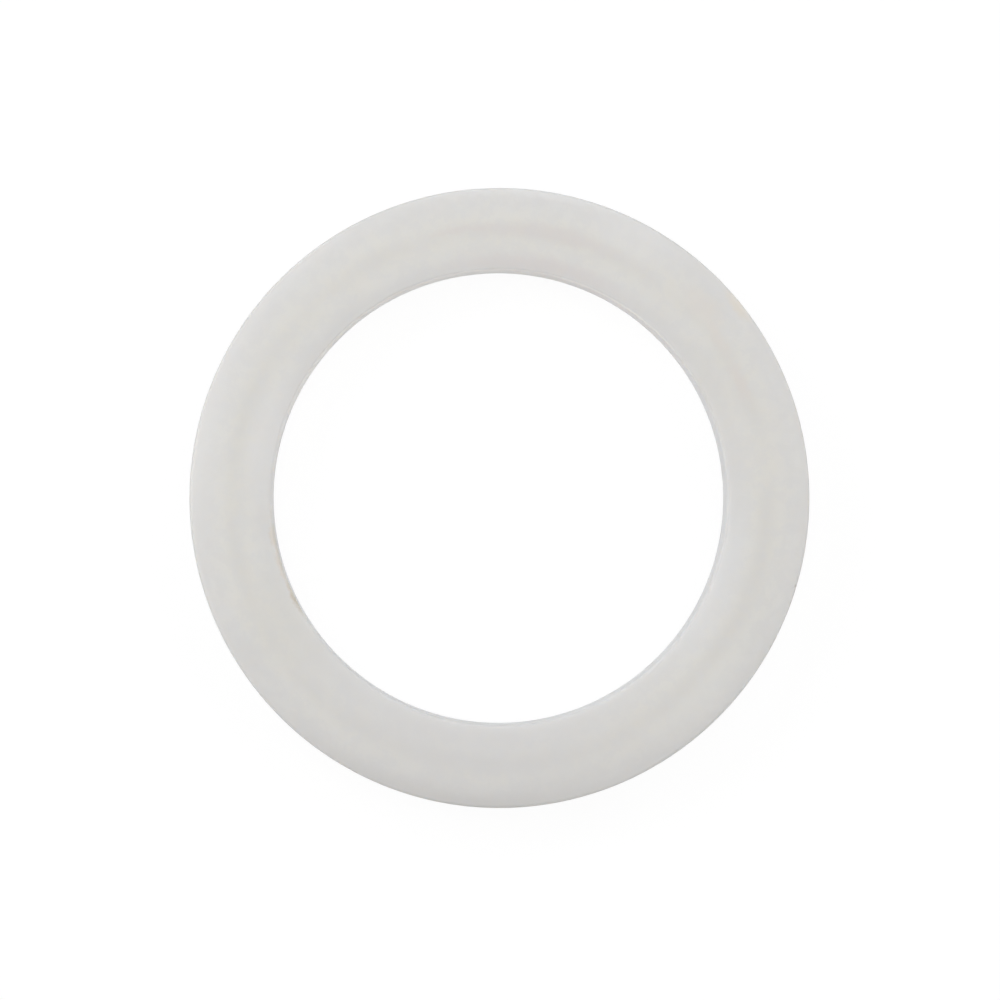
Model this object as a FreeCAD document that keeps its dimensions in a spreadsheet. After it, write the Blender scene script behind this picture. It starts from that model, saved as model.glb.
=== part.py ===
import FreeCAD, Part
import Sketcher
import math
import os

# Seat ring for a floating ball valve, turned from one piece of PTFE.
# Millimetres. Z is up along the ring's axis, towards the ball, and Z = 0 is the flat back face.
# The ball bears on the narrow band at the bore's front edge. That band is part of the ball's own sphere.

doc = FreeCAD.newDocument("SeatRing")

# One row for each size: its name, its value in millimetres and what it is.
SIZES = [
    ("outer_diameter", 36.0, "outside of the ring, which centres it in the body pocket"),
    ("bore_diameter", 26.4, "flow bore, a little over the 26 mm port of the ball"),
    ("thickness", 5.0, "back face to the soft line round the middle of the front face"),
    ("ball_diameter", 39.0, "ball that the seat band is turned to"),
    ("seat_band_width", 0.15, "radial width of the band that the ball bears on"),
    ("line_diameter", 31.0, "the soft line round the middle of the front face"),
    ("crown_radius", 8.0, "section radius of the front face on each side of the soft line"),
    ("inner_fall", 0.2, "height lost from the soft line to the seat band"),
    ("outer_fall", 0.34, "height lost from the soft line to the outside"),
    ("outer_edge_round", 0.2, "round on the front outer edge"),
    ("band_edge_round", 0.08, "round on both edges of the seat band"),
    ("back_outer_chamfer", 0.4, "lead-in on the back outer edge, for the pocket corner"),
    ("back_bore_chamfer", 0.3, "chamfer where the bore leaves the back face"),
]

sheet = doc.addObject("Spreadsheet::Sheet", "Sizes")
for index, (name, value, meaning) in enumerate(SIZES):
    row = str(index + 1)
    sheet.set("A" + row, name)
    sheet.set("B" + row, repr(value))
    sheet.set("C" + row, meaning)
    sheet.setAlias("B" + row, name)
doc.recompute()

size = {name: value for name, value, meaning in SIZES}

# Starting points for the sketch. The expressions below then hold every one of them to the sheet.
bore_radius = size["bore_diameter"] / 2
outer_radius = size["outer_diameter"] / 2
line_radius = size["line_diameter"] / 2
ball_radius = size["ball_diameter"] / 2
band_outer_radius = bore_radius + size["seat_band_width"]
line_height = size["thickness"]
band_top_height = line_height - size["inner_fall"]
outer_top_height = line_height - size["outer_fall"]
ball_centre_height = band_top_height + math.sqrt(ball_radius ** 2 - band_outer_radius ** 2)
band_low_height = ball_centre_height - math.sqrt(ball_radius ** 2 - bore_radius ** 2)


def vector(across, up):
    """A point of the section, with its distance from the axis and its height."""
    return FreeCAD.Vector(across, up, 0)


def arc_below(first, last, radius):
    """Arc from the outer point to the inner one, with its centre below the two."""
    middle = (first + last) * 0.5
    span = last - first
    reach = math.sqrt(radius ** 2 - (span.Length / 2) ** 2)
    inward = vector(-span.y, span.x)
    inward.normalize()
    if inward.y > 0:
        inward = inward * -1
    centre = middle + inward * reach
    start = math.atan2(first.y - centre.y, first.x - centre.x)
    end = math.atan2(last.y - centre.y, last.x - centre.x)
    return Part.ArcOfCircle(Part.Circle(centre, FreeCAD.Vector(0, 0, 1), radius), start, end)


back_inner = vector(bore_radius, 0)
back_outer = vector(outer_radius, 0)
outer_top = vector(outer_radius, outer_top_height)
soft_line = vector(line_radius, line_height)
band_top = vector(band_outer_radius, band_top_height)
band_low = vector(bore_radius, band_low_height)

body = doc.addObject("PartDesign::Body", "SeatRingBody")
sketch = body.newObject("Sketcher::SketchObject", "Section")
plane = [feature for feature in body.Origin.OriginFeatures if feature.Role == "XZ_Plane"][0]
sketch.AttachmentSupport = [(plane, "")]
sketch.MapMode = "FlatFace"

ball_centre = vector(0, ball_centre_height)
band_start = math.atan2(band_low.y - ball_centre.y, band_low.x - ball_centre.x)
band_end = math.atan2(band_top.y - ball_centre.y, band_top.x - ball_centre.x)
ball_circle = Part.Circle(ball_centre, FreeCAD.Vector(0, 0, 1), ball_radius)

BACK = sketch.addGeometry(Part.LineSegment(back_inner, back_outer))
OUTSIDE = sketch.addGeometry(Part.LineSegment(back_outer, outer_top))
OUTER_CROWN = sketch.addGeometry(arc_below(outer_top, soft_line, size["crown_radius"]))
INNER_CROWN = sketch.addGeometry(arc_below(soft_line, band_top, size["crown_radius"]))
BAND = sketch.addGeometry(Part.ArcOfCircle(ball_circle, band_start, band_end))
BORE = sketch.addGeometry(Part.LineSegment(band_low, back_inner))

# The sketch's own numbers for the points of a line or an arc, for its origin and for its two axes.
START, END, CENTRE = range(1, 4)
ORIGIN = START
X_AXIS, Y_AXIS = range(-1, -3, -1)


def constrain(name, *terms):
    """Add one rule to the sketch, and name it so that a size can drive it."""
    number = sketch.addConstraint(Sketcher.Constraint(*terms))
    if name:
        sketch.renameConstraint(number, name)
    return number


constrain("", "Coincident", BACK, END, OUTSIDE, START)
constrain("", "Coincident", OUTSIDE, END, OUTER_CROWN, START)
constrain("", "Coincident", OUTER_CROWN, END, INNER_CROWN, START)
constrain("", "Coincident", INNER_CROWN, END, BAND, END)
constrain("", "Coincident", BAND, START, BORE, START)
constrain("", "Coincident", BORE, END, BACK, START)
constrain("", "PointOnObject", BACK, START, X_AXIS)
constrain("", "Horizontal", BACK)
constrain("", "Vertical", OUTSIDE)
constrain("", "Vertical", BORE)
constrain("", "PointOnObject", BAND, CENTRE, Y_AXIS)
constrain("bore_half", "DistanceX", X_AXIS, ORIGIN, BACK, START, bore_radius)
constrain("outer_half", "DistanceX", X_AXIS, ORIGIN, BACK, END, outer_radius)
constrain("outer_height", "DistanceY", X_AXIS, ORIGIN, OUTSIDE, END, outer_top_height)
constrain("line_half", "DistanceX", X_AXIS, ORIGIN, OUTER_CROWN, END, line_radius)
constrain("line_height", "DistanceY", X_AXIS, ORIGIN, OUTER_CROWN, END, line_height)
constrain("band_half", "DistanceX", X_AXIS, ORIGIN, BAND, END, band_outer_radius)
constrain("band_height", "DistanceY", X_AXIS, ORIGIN, BAND, END, band_top_height)
constrain("outer_crown", "Radius", OUTER_CROWN, size["crown_radius"])
constrain("inner_crown", "Radius", INNER_CROWN, size["crown_radius"])
constrain("ball_half", "Radius", BAND, ball_radius)

DRIVEN = {
    "bore_half": "Sizes.bore_diameter / 2",
    "outer_half": "Sizes.outer_diameter / 2",
    "outer_height": "Sizes.thickness - Sizes.outer_fall",
    "line_half": "Sizes.line_diameter / 2",
    "line_height": "Sizes.thickness",
    "band_half": "Sizes.bore_diameter / 2 + Sizes.seat_band_width",
    "band_height": "Sizes.thickness - Sizes.inner_fall",
    "outer_crown": "Sizes.crown_radius",
    "inner_crown": "Sizes.crown_radius",
    "ball_half": "Sizes.ball_diameter / 2",
}
for name, expression in DRIVEN.items():
    sketch.setExpression("Constraints." + name, expression)
doc.recompute()

turned = body.newObject("PartDesign::Revolution", "Turned")
turned.Profile = sketch
turned.ReferenceAxis = (sketch, ["V_Axis"])
turned.Angle = 360
sketch.Visibility = False
doc.recompute()


def circle_edge(feature, radius, height):
    """Name of the round edge of this radius that lies at this height."""
    near = 1e-4
    for number, edge in enumerate(feature.Shape.Edges):
        curve = edge.Curve
        if not isinstance(curve, Part.Circle):
            continue
        if abs(curve.Radius - radius) < near and abs(curve.Center.z - height) < near:
            return "Edge" + str(number + 1)
    raise ValueError("no round edge of radius %g at height %g" % (radius, height))


# The front outer edge is rounded, and so are the two edges of the band, as a soft plastic wears.
outer_round = body.newObject("PartDesign::Fillet", "OuterEdgeRound")
outer_round.Base = (turned, [circle_edge(turned, outer_radius, outer_top_height)])
outer_round.setExpression("Radius", "Sizes.outer_edge_round")
doc.recompute()

band_rounds = body.newObject("PartDesign::Fillet", "BandEdgeRounds")
band_edges = [
    circle_edge(outer_round, band_outer_radius, band_top_height),
    circle_edge(outer_round, bore_radius, band_low_height),
]
band_rounds.Base = (outer_round, band_edges)
band_rounds.setExpression("Radius", "Sizes.band_edge_round")
doc.recompute()

# The back face keeps a lead-in outside and a small chamfer at the bore.
outer_lead = body.newObject("PartDesign::Chamfer", "BackOuterChamfer")
outer_lead.Base = (band_rounds, [circle_edge(band_rounds, outer_radius, 0)])
outer_lead.setExpression("Size", "Sizes.back_outer_chamfer")
doc.recompute()

bore_lead = body.newObject("PartDesign::Chamfer", "BackBoreChamfer")
bore_lead.Base = (outer_lead, [circle_edge(outer_lead, bore_radius, 0)])
bore_lead.setExpression("Size", "Sizes.back_bore_chamfer")
body.Tip = bore_lead
doc.recompute()

for item in doc.Objects:
    if "Invalid" in item.State or "Error" in item.State:
        raise RuntimeError(item.Name + " did not build: " + str(item.State))
    shape = getattr(item, "Shape", None)
    if shape is not None and item.isDerivedFrom("PartDesign::Feature"):
        if shape.isNull() or not shape.isValid():
            raise RuntimeError(item.Name + " has a broken shape")

if len(body.Shape.Solids) != 1:
    raise RuntimeError("the ring must be one solid")

os.makedirs("parts", exist_ok=True)
body.Shape.exportStep(os.path.join("parts", "seat_ring.step"))
print("seat_ring volume mm3", round(body.Shape.Volume, 2), "box", body.Shape.BoundBox)
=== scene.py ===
import math

import bmesh
import bpy
from mathutils import Matrix, Vector


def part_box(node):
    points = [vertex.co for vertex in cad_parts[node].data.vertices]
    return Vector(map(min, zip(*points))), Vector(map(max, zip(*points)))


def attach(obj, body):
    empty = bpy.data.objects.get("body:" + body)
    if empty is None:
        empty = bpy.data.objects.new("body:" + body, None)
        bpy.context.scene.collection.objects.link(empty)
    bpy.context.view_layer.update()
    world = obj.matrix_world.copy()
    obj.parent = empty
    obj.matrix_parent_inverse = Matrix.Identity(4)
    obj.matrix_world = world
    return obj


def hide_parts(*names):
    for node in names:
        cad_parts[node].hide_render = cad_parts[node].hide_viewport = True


# Seat ring of a floating ball valve, turned from one piece of PTFE.
# It lies on its flat back face with the ball side up, and the camera looks down nearly along its
# axis.

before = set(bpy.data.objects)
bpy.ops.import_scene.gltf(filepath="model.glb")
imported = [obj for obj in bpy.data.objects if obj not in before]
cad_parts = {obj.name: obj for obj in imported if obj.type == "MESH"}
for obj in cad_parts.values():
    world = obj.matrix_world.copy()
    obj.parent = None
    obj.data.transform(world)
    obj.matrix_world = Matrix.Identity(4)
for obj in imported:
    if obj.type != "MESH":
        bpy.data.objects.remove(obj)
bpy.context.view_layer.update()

MM = 0.001
FULL_TURN = 2 * math.pi

ring_low, ring_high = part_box("seat_ring")
OUTER_RADIUS = (ring_high.x - ring_low.x) / 2
THICKNESS = 5.0 * MM
BORE_RADIUS = 13.2 * MM
BALL_RADIUS = 19.5 * MM
SEAT_BAND_WIDTH = 0.15 * MM
LINE_RADIUS = 15.5 * MM
CROWN_RADIUS = 8.0 * MM
INNER_FALL = 0.2 * MM
OUTER_FALL = 0.34 * MM
OUTER_EDGE_ROUND = 0.2 * MM
BAND_EDGE_ROUND = 0.08 * MM
BACK_OUTER_CHAMFER = 0.4 * MM
BACK_BORE_CHAMFER = 0.3 * MM
# A long straight face has a point this far from each end, for clean shading beside its edges.
HOLD_POINT = 0.25 * MM
SHARP_EDGE_DEGREES = 40

STEPS_AROUND = 384
STEPS_CROWN = 14
STEPS_BAND = 4
STEPS_ROUND = 4


def at(across, up):
    """A point of the section, at a distance from the axis and a height."""
    return Vector((across, 0, up))


def straight(section, start, end):
    """Draw the section on in a straight line and give its new last point."""
    last = bmesh.ops.extrude_vert_indiv(section, verts=[start])["verts"][0]
    bmesh.ops.translate(section, verts=[last], vec=end - last.co)
    return last


def curved(section, start, end, centre, steps):
    """Draw the section on round a centre and give its new last point."""
    first = start.co - centre
    last = end - centre
    turn = math.atan2(first.z, first.x) - math.atan2(last.z, last.x)
    made = bmesh.ops.spin(
        section,
        geom=[start],
        cent=centre,
        axis=(0, 1, 0),
        angle=turn,
        steps=steps,
        use_duplicate=False,
    )
    return [item for item in made["geom_last"] if isinstance(item, bmesh.types.BMVert)][0]


def centre_below(first, last, radius):
    """Centre of the arc through two points of the section that bulges upwards."""
    half_chord = (last - first) * 0.5
    reach = math.sqrt(radius ** 2 - half_chord.length_squared)
    down = Vector((half_chord.z, 0, -half_chord.x)).normalized()
    if down.z > 0:
        down = -down
    return first + half_chord + down * reach


def round_corner(section, corner, radius, steps):
    """Round one corner of the section to a radius."""
    before, after = [edge.other_vert(corner).co - corner.co for edge in corner.link_edges]
    half_angle = before.angle(after) / 2
    bmesh.ops.bevel(
        section,
        geom=[corner],
        offset=radius / math.tan(half_angle),
        offset_type="OFFSET",
        segments=steps,
        profile=0.5,
        affect="VERTICES",
        material=-1,
    )


def turned_ring(name):
    """Draw the ring's section, round its corners and turn it about the axis."""
    band_top = at(BORE_RADIUS + SEAT_BAND_WIDTH, THICKNESS - INNER_FALL)
    ball_centre = at(0, band_top.z + math.sqrt(BALL_RADIUS ** 2 - band_top.x ** 2))
    band_low = at(BORE_RADIUS, ball_centre.z - math.sqrt(BALL_RADIUS ** 2 - BORE_RADIUS ** 2))
    soft_line = at(LINE_RADIUS, THICKNESS)
    outer_top = at(OUTER_RADIUS, THICKNESS - OUTER_FALL)

    section = bmesh.new()
    first = section.verts.new(at(BORE_RADIUS + BACK_BORE_CHAMFER, 0))
    point = straight(section, first, at(BORE_RADIUS, BACK_BORE_CHAMFER))
    point = straight(section, point, at(BORE_RADIUS, BACK_BORE_CHAMFER + HOLD_POINT))
    point = straight(section, point, band_low - at(0, HOLD_POINT))
    band_low_corner = straight(section, point, band_low)
    band_top_corner = curved(section, band_low_corner, band_top, ball_centre, STEPS_BAND)
    inner_centre = centre_below(band_top, soft_line, CROWN_RADIUS)
    point = curved(section, band_top_corner, soft_line, inner_centre, STEPS_CROWN)
    outer_centre = centre_below(soft_line, outer_top, CROWN_RADIUS)
    outer_corner = curved(section, point, outer_top, outer_centre, STEPS_CROWN)
    point = straight(section, outer_corner, outer_top - at(0, HOLD_POINT))
    point = straight(section, point, at(OUTER_RADIUS, BACK_OUTER_CHAMFER + HOLD_POINT))
    point = straight(section, point, at(OUTER_RADIUS, BACK_OUTER_CHAMFER))
    point = straight(section, point, at(OUTER_RADIUS - BACK_OUTER_CHAMFER, 0))
    point = straight(section, point, at(OUTER_RADIUS - BACK_OUTER_CHAMFER - HOLD_POINT, 0))
    point = straight(section, point, at(BORE_RADIUS + BACK_BORE_CHAMFER + HOLD_POINT, 0))
    section.edges.new((point, first))

    for corner in (band_low_corner, band_top_corner):
        round_corner(section, corner, BAND_EDGE_ROUND, STEPS_ROUND)
    round_corner(section, outer_corner, OUTER_EDGE_ROUND, STEPS_ROUND)

    bmesh.ops.spin(
        section,
        geom=section.verts[:] + section.edges[:],
        cent=(0, 0, 0),
        axis=(0, 0, 1),
        angle=FULL_TURN,
        steps=STEPS_AROUND,
        use_merge=True,
        use_duplicate=False,
    )
    bmesh.ops.recalc_face_normals(section, faces=section.faces[:])
    mesh = bpy.data.meshes.new(name)
    section.to_mesh(mesh)
    section.free()
    mesh.shade_smooth()
    mesh.set_sharp_from_angle(angle=math.radians(SHARP_EDGE_DEGREES))
    ring = bpy.data.objects.new(name, mesh)
    bpy.context.scene.collection.objects.link(ring)
    return ring


ring = turned_ring("turned_seat_ring")
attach(ring, "root")
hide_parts("seat_ring")


def linear(hex_colour):
    """Turn an sRGB hex colour into the linear one that a shader takes."""
    channels = [int(hex_colour[place:place + 2], 16) / 255 for place in (0, 2, 4)]
    straightened = [
        value / 12.92 if value <= 0.04045 else ((value + 0.055) / 1.055) ** 2.4
        for value in channels
    ]
    return (*straightened, 1.0)


def add(tree, kind, settings=None, links=None):
    """Add a node, set its properties and sockets, and link its inputs."""
    node = tree.nodes.new(kind)
    for name, value in (settings or {}).items():
        if isinstance(name, str) and hasattr(node, name):
            setattr(node, name, value)
        else:
            node.inputs[name].default_value = value
    for name, source in (links or {}).items():
        tree.links.new(source, node.inputs[name])
    return node


def seen_directly(tree):
    """1 where the camera sees a thing, straight or in a shine or through a clear piece, else 0."""
    ray = add(tree, "ShaderNodeLightPath").outputs
    seen = ray["Is Camera Ray"]
    for other_way in (ray["Is Glossy Ray"], ray["Is Transmission Ray"]):
        either = add(tree, "ShaderNodeMath", {"operation": "MAXIMUM"}, {0: seen, 1: other_way})
        seen = either.outputs[0]
    return seen


def empty_material(name):
    """A material with nothing but its output."""
    material = bpy.data.materials.new(name)
    material.use_nodes = True
    material.node_tree.nodes.clear()
    output = material.node_tree.nodes.new("ShaderNodeOutputMaterial")
    return material, material.node_tree, output


# PTFE, sintered and then turned. It is milky, because light goes a millimetre or so into it before
# it comes back, and its skin is waxy rather than glossy. Its refractive index is low, so it shines
# very little. Both edges are painted a little greyer than the face: painted shade.
PTFE_SKIN = "d9d8d6"
PTFE_CLOUD = "d4d3d2"
PTFE_WARM = "dcdad4"
# Painted shade for the line in the valley.
LINE_PAINTED_SHADE = "d5d3cf"
# Painted light for the bore's wall, and painted warm light for its shaded upper side.
WALL_PAINTED_LIGHT = "dcdcdc"
WALL_TOP_PAINTED_LIGHT = "f0ece8"
# Painted shade for both edges of the face.
EDGE_PAINTED_SHADE = "d3d2d0"
PTFE_IOR = 1.35
PTFE_ROUGHNESS = 0.42
LIGHT_REACH = 1.4 * MM
REACH_BY_COLOUR = (1.0, 0.92, 0.82)

ptfe, tree, output = empty_material("PTFE")
place = add(tree, "ShaderNodeTexCoord").outputs["Object"]
axes = add(tree, "ShaderNodeSeparateXYZ", links={"Vector": place}).outputs
flat = add(tree, "ShaderNodeCombineXYZ", links={"X": axes["X"], "Y": axes["Y"]}).outputs[0]
length = add(tree, "ShaderNodeVectorMath", {"operation": "LENGTH"}, {0: flat})
radius = length.outputs["Value"]
past_line = add(tree, "ShaderNodeMath", {"operation": "SUBTRACT", 1: LINE_RADIUS}, {0: radius})
off_line = add(tree, "ShaderNodeMath", {"operation": "ABSOLUTE"}, {0: past_line.outputs[0]})
off_line = off_line.outputs[0]

# Clouding: the powder's grains melt together unevenly, in patches of about 3 mm with smaller ones
# of 0.8 mm in them. The smaller ones swing to both sides of 0, and also make the stretches ragged.
CLOUD_SIZE = 3.0 * MM
GRAIN_SIZE = 0.8 * MM
clouds = add(
    tree,
    "ShaderNodeTexNoise",
    {"Scale": 1 / CLOUD_SIZE, "Detail": 3.0, "Roughness": 0.6},
    {"Vector": place},
).outputs["Fac"]
grain = add(
    tree,
    "ShaderNodeTexNoise",
    {"normalize": False, "Scale": 1 / GRAIN_SIZE, "Detail": 4.0, "Roughness": 0.65},
    {"Vector": place},
).outputs

# Painted light: the bore's wall and seat band are painted paler than the face, and paler and warmer
# still on their shaded upper side, at this bearing.
PAINTED_LIGHT_BEARING = 100
painted_light_way = (
    math.cos(math.radians(PAINTED_LIGHT_BEARING)),
    math.sin(math.radians(PAINTED_LIGHT_BEARING)),
    0.0,
)
towards_painted_light = add(
    tree, "ShaderNodeVectorMath", {"operation": "DOT_PRODUCT", 1: painted_light_way}, {0: flat}
).outputs["Value"]

# The front face is warmer along its middle, where the ring is thickest, and a line of painted shade
# runs round it in the shallow valley there, fainter in places. Each row is a share from 0 to 1: the
# value that it follows, where on that value it starts and ends, and the share at the start and at
# the end.
FRONT_FROM = 4.0 * MM
FRONT_FULL = 4.5 * MM
WARM_HALF_WIDTH = 2.1 * MM
LINE_SHADE_HALF_WIDTH = 0.95 * MM
INNER_SHADE_WIDTH = 1.1 * MM
OUTER_SHADE_WIDTH = 0.7 * MM
WALL_LIGHT_FADE = 0.12 * MM
PAINTED_LIGHT_FROM = 1.3 * MM
PAINTED_LIGHT_FULL = 10.6 * MM
band_end = BORE_RADIUS + SEAT_BAND_WIDTH
SHARES = [
    ("front", axes["Z"], FRONT_FROM, FRONT_FULL, 0.0, 1.0),
    ("clouding", clouds, 0.32, 0.68, 0.0, 0.65),
    ("warm middle", off_line, 0.0, WARM_HALF_WIDTH, 0.85, 0.0),
    # Painted shade in the valley along the line, fainter in places.
    ("soft line", off_line, 0.0, LINE_SHADE_HALF_WIDTH, 0.95, 0.0),
    ("what is left of the painted shade", clouds, 0.35, 0.65, 1.0, 0.45),
    # Painted shade by both edges of the face.
    ("painted shade by the bore", radius, BORE_RADIUS, BORE_RADIUS + INNER_SHADE_WIDTH, 0.7, 0.0),
    ("painted shade by the outer edge", radius, OUTER_RADIUS - OUTER_SHADE_WIDTH, OUTER_RADIUS, 0.0, 1.0),
    ("grain", grain["Fac"], -0.35, 0.35, 0.0, 0.4),
    # Painted light on the bore's wall and seat band, and more on the wall's shaded upper side.
    ("painted light on the bore's wall", radius, band_end - WALL_LIGHT_FADE, band_end, 0.85, 0.0),
    ("painted warm light on the wall's upper side", towards_painted_light, PAINTED_LIGHT_FROM, PAINTED_LIGHT_FULL, 0.0, 1.0),
]

# Colours laid over the skin, in this order, each by the shares named beside it, multiplied.
LAYERS = [
    (PTFE_CLOUD, ["clouding"]),
    (PTFE_WARM, ["warm middle", "front"]),
    # Painted shade in the valley along the line.
    (LINE_PAINTED_SHADE, ["soft line", "what is left of the painted shade", "front"]),
    # Painted shade by both edges of the face.
    (EDGE_PAINTED_SHADE, ["painted shade by the bore"]),
    (EDGE_PAINTED_SHADE, ["painted shade by the outer edge"]),
    (PTFE_CLOUD, ["grain"]),
    # Painted light on the bore's wall and seat band, and more on the wall's shaded upper side.
    (WALL_PAINTED_LIGHT, ["painted light on the bore's wall"]),
    (WALL_TOP_PAINTED_LIGHT, ["painted light on the bore's wall", "painted warm light on the wall's upper side"]),
]

# Stretches of other colour on the front, laid along the ring: stains, paler and greyer stretches,
# and painted shade and painted light where named. Each has a bearing, a distance from the axis, a
# half width, a half length, a colour and a strength. Lengths are in millimetres and bearings in
# degrees.
STAINS_AND_PAINTED_LIGHT = [
    # Painted shade: the face darker towards the bottom, away from the lamps.
    ("painted shade over the bottom", -97, 14.8, 2.8, 15.0, "d2d1d1", 0.5),
    # Painted shade on the bottom outer edge.
    ("painted shade on the bottom edge", -103, 18.0, 1.3, 12.0, "cccac8", 0.55),
    ("greyer stretch at the right", 28, 13.9, 1.7, 4.0, "d4d2ce", 0.5),
    ("greyer stretch at the lower left", -150, 14.6, 2.4, 4.5, "d3d1cc", 0.45),
    ("paler stretch at the upper right", 62, 17.0, 2.0, 4.0, "dddcdb", 0.4),
    ("paler stretch by the bore at the left", 166, 14.0, 1.5, 5.5, "dddcdb", 0.55),
    ("paler stretch beyond the line at the left", 174, 17.0, 1.5, 7.0, "dfdedc", 0.3),
    ("paler stretch by the bore at the lower right", -22, 13.9, 1.5, 7.5, "dcdcdc", 0.45),
    ("paler stretch beyond the line at the lower right", -45, 16.5, 1.6, 6.0, "dddcd9", 0.5),
    # Painted highlight on the top outer edge, which faces the lamps.
    ("painted highlight on the top edge", 84, 17.9, 0.5, 9.0, "dedddc", 0.6),
    ("pinkish stretch along the line", 78, 15.6, 0.7, 6.5, "d3cecc", 0.5),
    ("thin end of it", 98, 15.75, 0.35, 3.0, "d4cecb", 0.45),
    # Partly a pinkish stain and partly painted shade, on the bore's shaded upper edge.
    ("pinkish stain and painted shade by the bore", 80, 13.7, 0.8, 7.5, "d5d0ce", 0.55),
    ("warm patch", 43, 16.2, 1.1, 2.0, "d9d4ce", 0.6),
    ("warm middle of it", 36, 15.7, 0.6, 1.8, "d9d4ce", 0.55),
    ("warm tail of it", 26, 15.5, 0.55, 1.8, "d7d1cc", 0.6),
    ("amber at the outer edge", 39, 17.8, 0.5, 1.6, "dad4ca", 0.7),
    ("amber at the bore's edge", -166, 13.2, 0.35, 4.2, "d2cbc2", 0.8),
    ("brown at the bore's edge", -154, 13.2, 0.3, 1.3, "c8bfb2", 0.8),
    ("dark nick at the outer edge", -17, 18.0, 0.15, 0.12, "a8a6a2", 0.6),
]

# A place is taken along the ring: its distance from the axis, and its turn about the axis, both a
# little ragged. The turn starts again at a bearing where there is no stretch. A stretch is an
# ellipse there, full over its inner fifth and faded out at its edge.
RAGGED_BY = 0.2 * MM
STRETCH_SEAM_BEARING = 130
STRETCH_FULL = 0.8
ragged = add(
    tree,
    "ShaderNodeVectorMath",
    {"operation": "MULTIPLY_ADD", 1: (RAGGED_BY, RAGGED_BY, 0.0)},
    {0: grain["Color"], 2: place},
)
past_seam = add(
    tree,
    "ShaderNodeVectorRotate",
    {"rotation_type": "Z_AXIS", "Angle": math.radians(180 - STRETCH_SEAM_BEARING)},
    {"Vector": ragged.outputs[0]},
)
across = add(tree, "ShaderNodeSeparateXYZ", links={"Vector": past_seam.outputs[0]}).outputs
ragged_flat = add(tree, "ShaderNodeCombineXYZ", links={"X": across["X"], "Y": across["Y"]})
ragged_radius = add(
    tree, "ShaderNodeVectorMath", {"operation": "LENGTH"}, {0: ragged_flat.outputs[0]}
)
ragged_turn = add(
    tree, "ShaderNodeMath", {"operation": "ARCTAN2"}, {0: across["Y"], 1: across["X"]}
)
along_ring = add(
    tree,
    "ShaderNodeCombineXYZ",
    links={"X": ragged_radius.outputs["Value"], "Y": ragged_turn.outputs[0]},
).outputs[0]
for name, bearing, distance, half_width, half_length, stretch_colour, strength in STAINS_AND_PAINTED_LIGHT:
    turn = math.remainder(bearing + 180 - STRETCH_SEAM_BEARING, 360)
    middle = (distance * MM, math.radians(turn), 0.0)
    half_sizes = (half_width * MM, half_length / distance, 1.0)
    about_middle = add(
        tree,
        "ShaderNodeMapping",
        {"vector_type": "TEXTURE", "Location": middle, "Scale": half_sizes},
        {"Vector": along_ring},
    ).outputs[0]
    ellipse = add(
        tree, "ShaderNodeTexGradient", {"gradient_type": "SPHERICAL"}, {"Vector": about_middle}
    ).outputs["Fac"]
    SHARES.append((name, ellipse, 0.0, STRETCH_FULL, 0.0, strength))
    LAYERS.append((stretch_colour, [name, "front"]))

shares = {}
for name, value, start, end, share_at_start, share_at_end in SHARES:
    ends = {
        "From Min": start,
        "From Max": end,
        "To Min": share_at_start,
        "To Max": share_at_end,
    }
    smooth = add(
        tree, "ShaderNodeMapRange", {"interpolation_type": "SMOOTHSTEP", **ends}, {"Value": value}
    )
    shares[name] = smooth.outputs[0]

# The sockets of a Mix node that hold its two colours and the mixed one.
UNDER_COLOUR, OVER_COLOUR, MIXED_COLOUR = 6, 7, 2
skin_colour = add(tree, "ShaderNodeRGB")
skin_colour.outputs[0].default_value = linear(PTFE_SKIN)
colour = skin_colour.outputs[0]
for over, share_names in LAYERS:
    amount = shares[share_names[0]]
    for share_name in share_names[1:]:
        both = add(
            tree,
            "ShaderNodeMath",
            {"operation": "MULTIPLY"},
            {0: amount, 1: shares[share_name]},
        )
        amount = both.outputs[0]
    laid = add(
        tree,
        "ShaderNodeMix",
        {"data_type": "RGBA", OVER_COLOUR: linear(over)},
        {0: amount, UNDER_COLOUR: colour},
    )
    colour = laid.outputs[MIXED_COLOUR]

# The tool leaves very fine rings on the turned faces, which the light barely catches.
TOOL_FEED = 0.12 * MM
TOOL_MARK_DEPTH = 0.004 * MM
TOOL_MARK_STRENGTH = 0.25
feeds = add(tree, "ShaderNodeMath", {"operation": "DIVIDE", 1: TOOL_FEED}, {0: radius})
tool_rings = add(
    tree,
    "ShaderNodeTexNoise",
    {"noise_dimensions": "1D", "Scale": 1.0, "Detail": 2.0},
    {"W": feeds.outputs[0]},
)
relief = add(
    tree,
    "ShaderNodeBump",
    {"Strength": TOOL_MARK_STRENGTH, "Distance": TOOL_MARK_DEPTH},
    {"Height": tool_rings.outputs["Fac"]},
)
skin = add(
    tree,
    "ShaderNodeBsdfPrincipled",
    {
        "Roughness": PTFE_ROUGHNESS,
        "IOR": PTFE_IOR,
        "Subsurface Weight": 1.0,
        "Subsurface Radius": REACH_BY_COLOUR,
        "Subsurface Scale": LIGHT_REACH,
    },
    {"Base Color": colour, "Normal": relief.outputs[0]},
)
tree.links.new(skin.outputs[0], output.inputs["Surface"])
ring.data.materials.append(ptfe)

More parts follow.
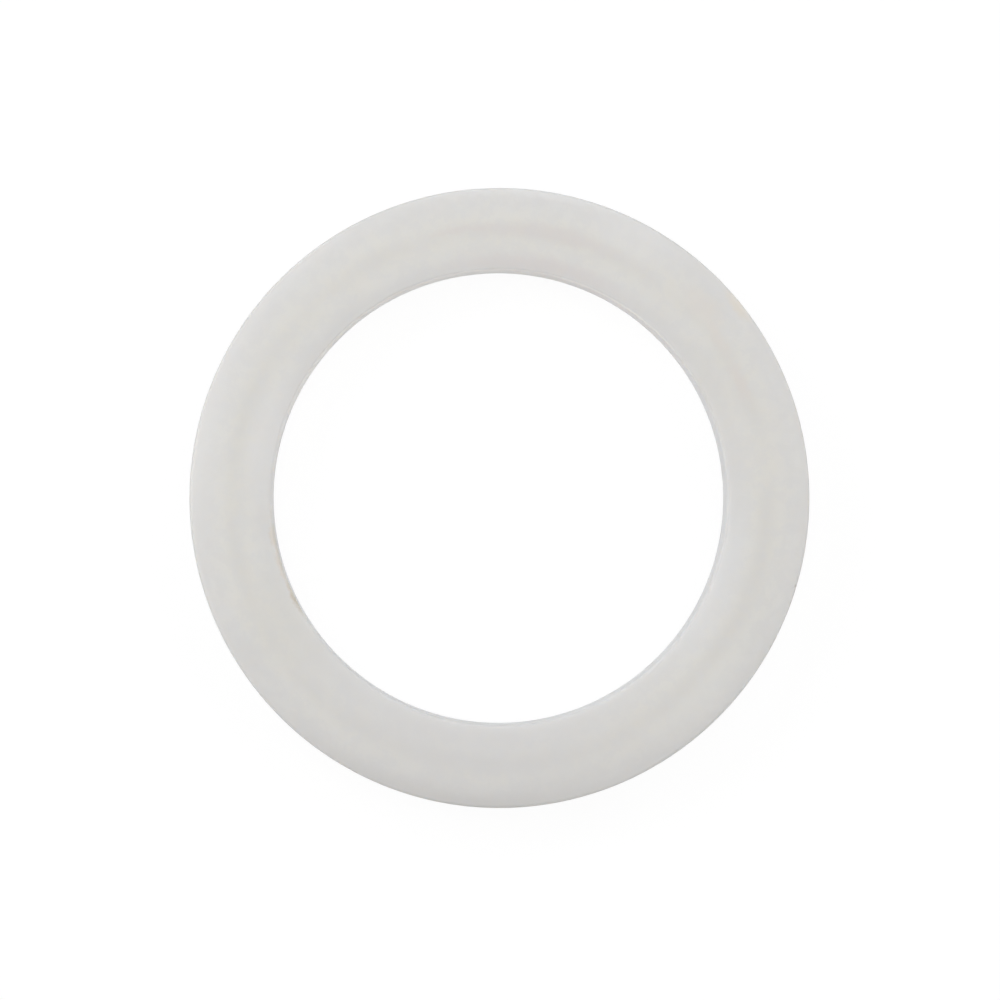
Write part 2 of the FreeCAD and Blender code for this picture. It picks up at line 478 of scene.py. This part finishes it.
# Matt white table. The camera sees it near to plain white, with a tenth of its own shading, so that
# the ring's soft shadow stays on it. It lies a hair below the ring's back, so that the two don't
# share one plane.
FLOOR_SIZE = 3.0
FLOOR_DROP = 0.02 * MM
FLOOR_WHITE = "f0f0f0"
FLOOR_PLAIN = 1.03
SHADING_SEEN = 0.1
PLAIN_WHITE = linear("ffffff")
table, tree, output = empty_material("matt white table")
paint = add(tree, "ShaderNodeBsdfDiffuse", {"Color": linear(FLOOR_WHITE), "Roughness": 0.0})
plain = add(tree, "ShaderNodeEmission", {"Color": PLAIN_WHITE, "Strength": FLOOR_PLAIN})
faded = add(
    tree, "ShaderNodeMixShader", {0: SHADING_SEEN}, {1: plain.outputs[0], 2: paint.outputs[0]}
)
shown = add(
    tree,
    "ShaderNodeMixShader",
    links={0: seen_directly(tree), 1: paint.outputs[0], 2: faded.outputs[0]},
)
tree.links.new(shown.outputs[0], output.inputs["Surface"])
sheet_shape = bmesh.new()
below_back = Matrix.Translation((0, 0, -FLOOR_DROP))
bmesh.ops.create_grid(
    sheet_shape, x_segments=1, y_segments=1, size=FLOOR_SIZE / 2, matrix=below_back
)
floor_mesh = bpy.data.meshes.new("table_top")
sheet_shape.to_mesh(floor_mesh)
sheet_shape.free()
table_top = bpy.data.objects.new("table_top", floor_mesh)
bpy.context.scene.collection.objects.link(table_top)
floor_mesh.materials.append(table)


def facing(place, target):
    """Turn for a lamp or camera at a place, so that it looks at the target with +Y upwards."""
    back = (place - target).normalized()
    side = Vector((0, 1, 0)).cross(back).normalized()
    return Matrix((side, back.cross(side), back)).transposed().to_quaternion()


def around(bearing, elevation, distance):
    """Place at a bearing anticlockwise from +X and an elevation above the table."""
    flat = distance * math.cos(math.radians(elevation))
    return Vector(
        (
            flat * math.cos(math.radians(bearing)),
            flat * math.sin(math.radians(bearing)),
            distance * math.sin(math.radians(elevation)),
        )
    )


# Soft boxes: four close by, of which the key is the one at the upper left of the picture, and one
# overhead. Each has a bearing, an elevation, a distance, a side, a power and a tint.
SOFT_BOXES = [
    ("key", 148, 50, 0.2, 0.1, 0.117, (0.94, 0.97, 1.0)),
    ("upper_right", 50, 50, 0.2, 0.1, 0.073, (0.93, 0.96, 1.0)),
    ("right", 350, 50, 0.2, 0.1, 0.07, (1.0, 0.98, 0.95)),
    ("left", 177, 30, 0.2, 0.1, 0.061, (1.0, 0.985, 0.97)),
    ("overhead", 90, 90, 0.8, 0.35, 1.21, (1.0, 0.984, 0.965)),
]
WORLD_LEVEL = 0.28
for name, bearing, elevation, distance, side, power, tint in SOFT_BOXES:
    lamp = bpy.data.lights.new(name, "AREA")
    lamp.shape = "SQUARE"
    lamp.size = side
    lamp.energy = power
    lamp.color = tint
    soft_box = bpy.data.objects.new(name, lamp)
    bpy.context.scene.collection.objects.link(soft_box)
    soft_box.location = around(bearing, elevation, distance)
    soft_box.rotation_mode = "QUATERNION"
    soft_box.rotation_quaternion = (-soft_box.location).to_track_quat("-Z", "Y")

world = bpy.data.worlds.new("white room")
bpy.context.scene.world = world
world.use_nodes = True
tree = world.node_tree
tree.nodes.clear()
room = add(tree, "ShaderNodeBackground", {"Color": PLAIN_WHITE, "Strength": WORLD_LEVEL})
plain = add(tree, "ShaderNodeBackground", {"Color": PLAIN_WHITE, "Strength": 1.0})
backdrop = add(
    tree,
    "ShaderNodeMixShader",
    links={0: seen_directly(tree), 1: room.outputs[0], 2: plain.outputs[0]},
)
add(tree, "ShaderNodeOutputWorld", links={"Surface": backdrop.outputs[0]})

# The camera is nearly on the ring's axis, a little to the left of it. Its lens is set so that the
# ring's outside, where the round of its front edge starts, has its size in the picture.
CAMERA_DISTANCE = 0.36
CAMERA_BEARING = 182
CAMERA_LEAN = 0.9
SENSOR_WIDTH = 36.0
PICTURE_WIDTH = 1000
RING_RADIUS_IN_PICTURE = 310.0
RING_CENTRE_IN_PICTURE = (499.8, 498.0)
NEAREST_SEEN = 0.01
FARTHEST_SEEN = 10.0
edge_distance = CAMERA_DISTANCE + OUTER_FALL + OUTER_EDGE_ROUND
lens = RING_RADIUS_IN_PICTURE / PICTURE_WIDTH * SENSOR_WIDTH * edge_distance / OUTER_RADIUS
pixel = OUTER_RADIUS / RING_RADIUS_IN_PICTURE
aim = Vector(
    (
        (PICTURE_WIDTH / 2 - RING_CENTRE_IN_PICTURE[0]) * pixel,
        (RING_CENTRE_IN_PICTURE[1] - PICTURE_WIDTH / 2) * pixel,
        THICKNESS,
    )
)
camera_data = bpy.data.cameras.new("camera")
camera_data.sensor_width = SENSOR_WIDTH
camera_data.lens = lens
camera_data.clip_start = NEAREST_SEEN
camera_data.clip_end = FARTHEST_SEEN
camera = bpy.data.objects.new("camera", camera_data)
bpy.context.scene.collection.objects.link(camera)
camera.location = aim + around(CAMERA_BEARING, 90 - CAMERA_LEAN, CAMERA_DISTANCE)
camera.rotation_mode = "QUATERNION"
camera.rotation_quaternion = facing(camera.location, aim)
bpy.context.scene.camera = camera

bpy.context.scene.view_settings.view_transform = "Standard"
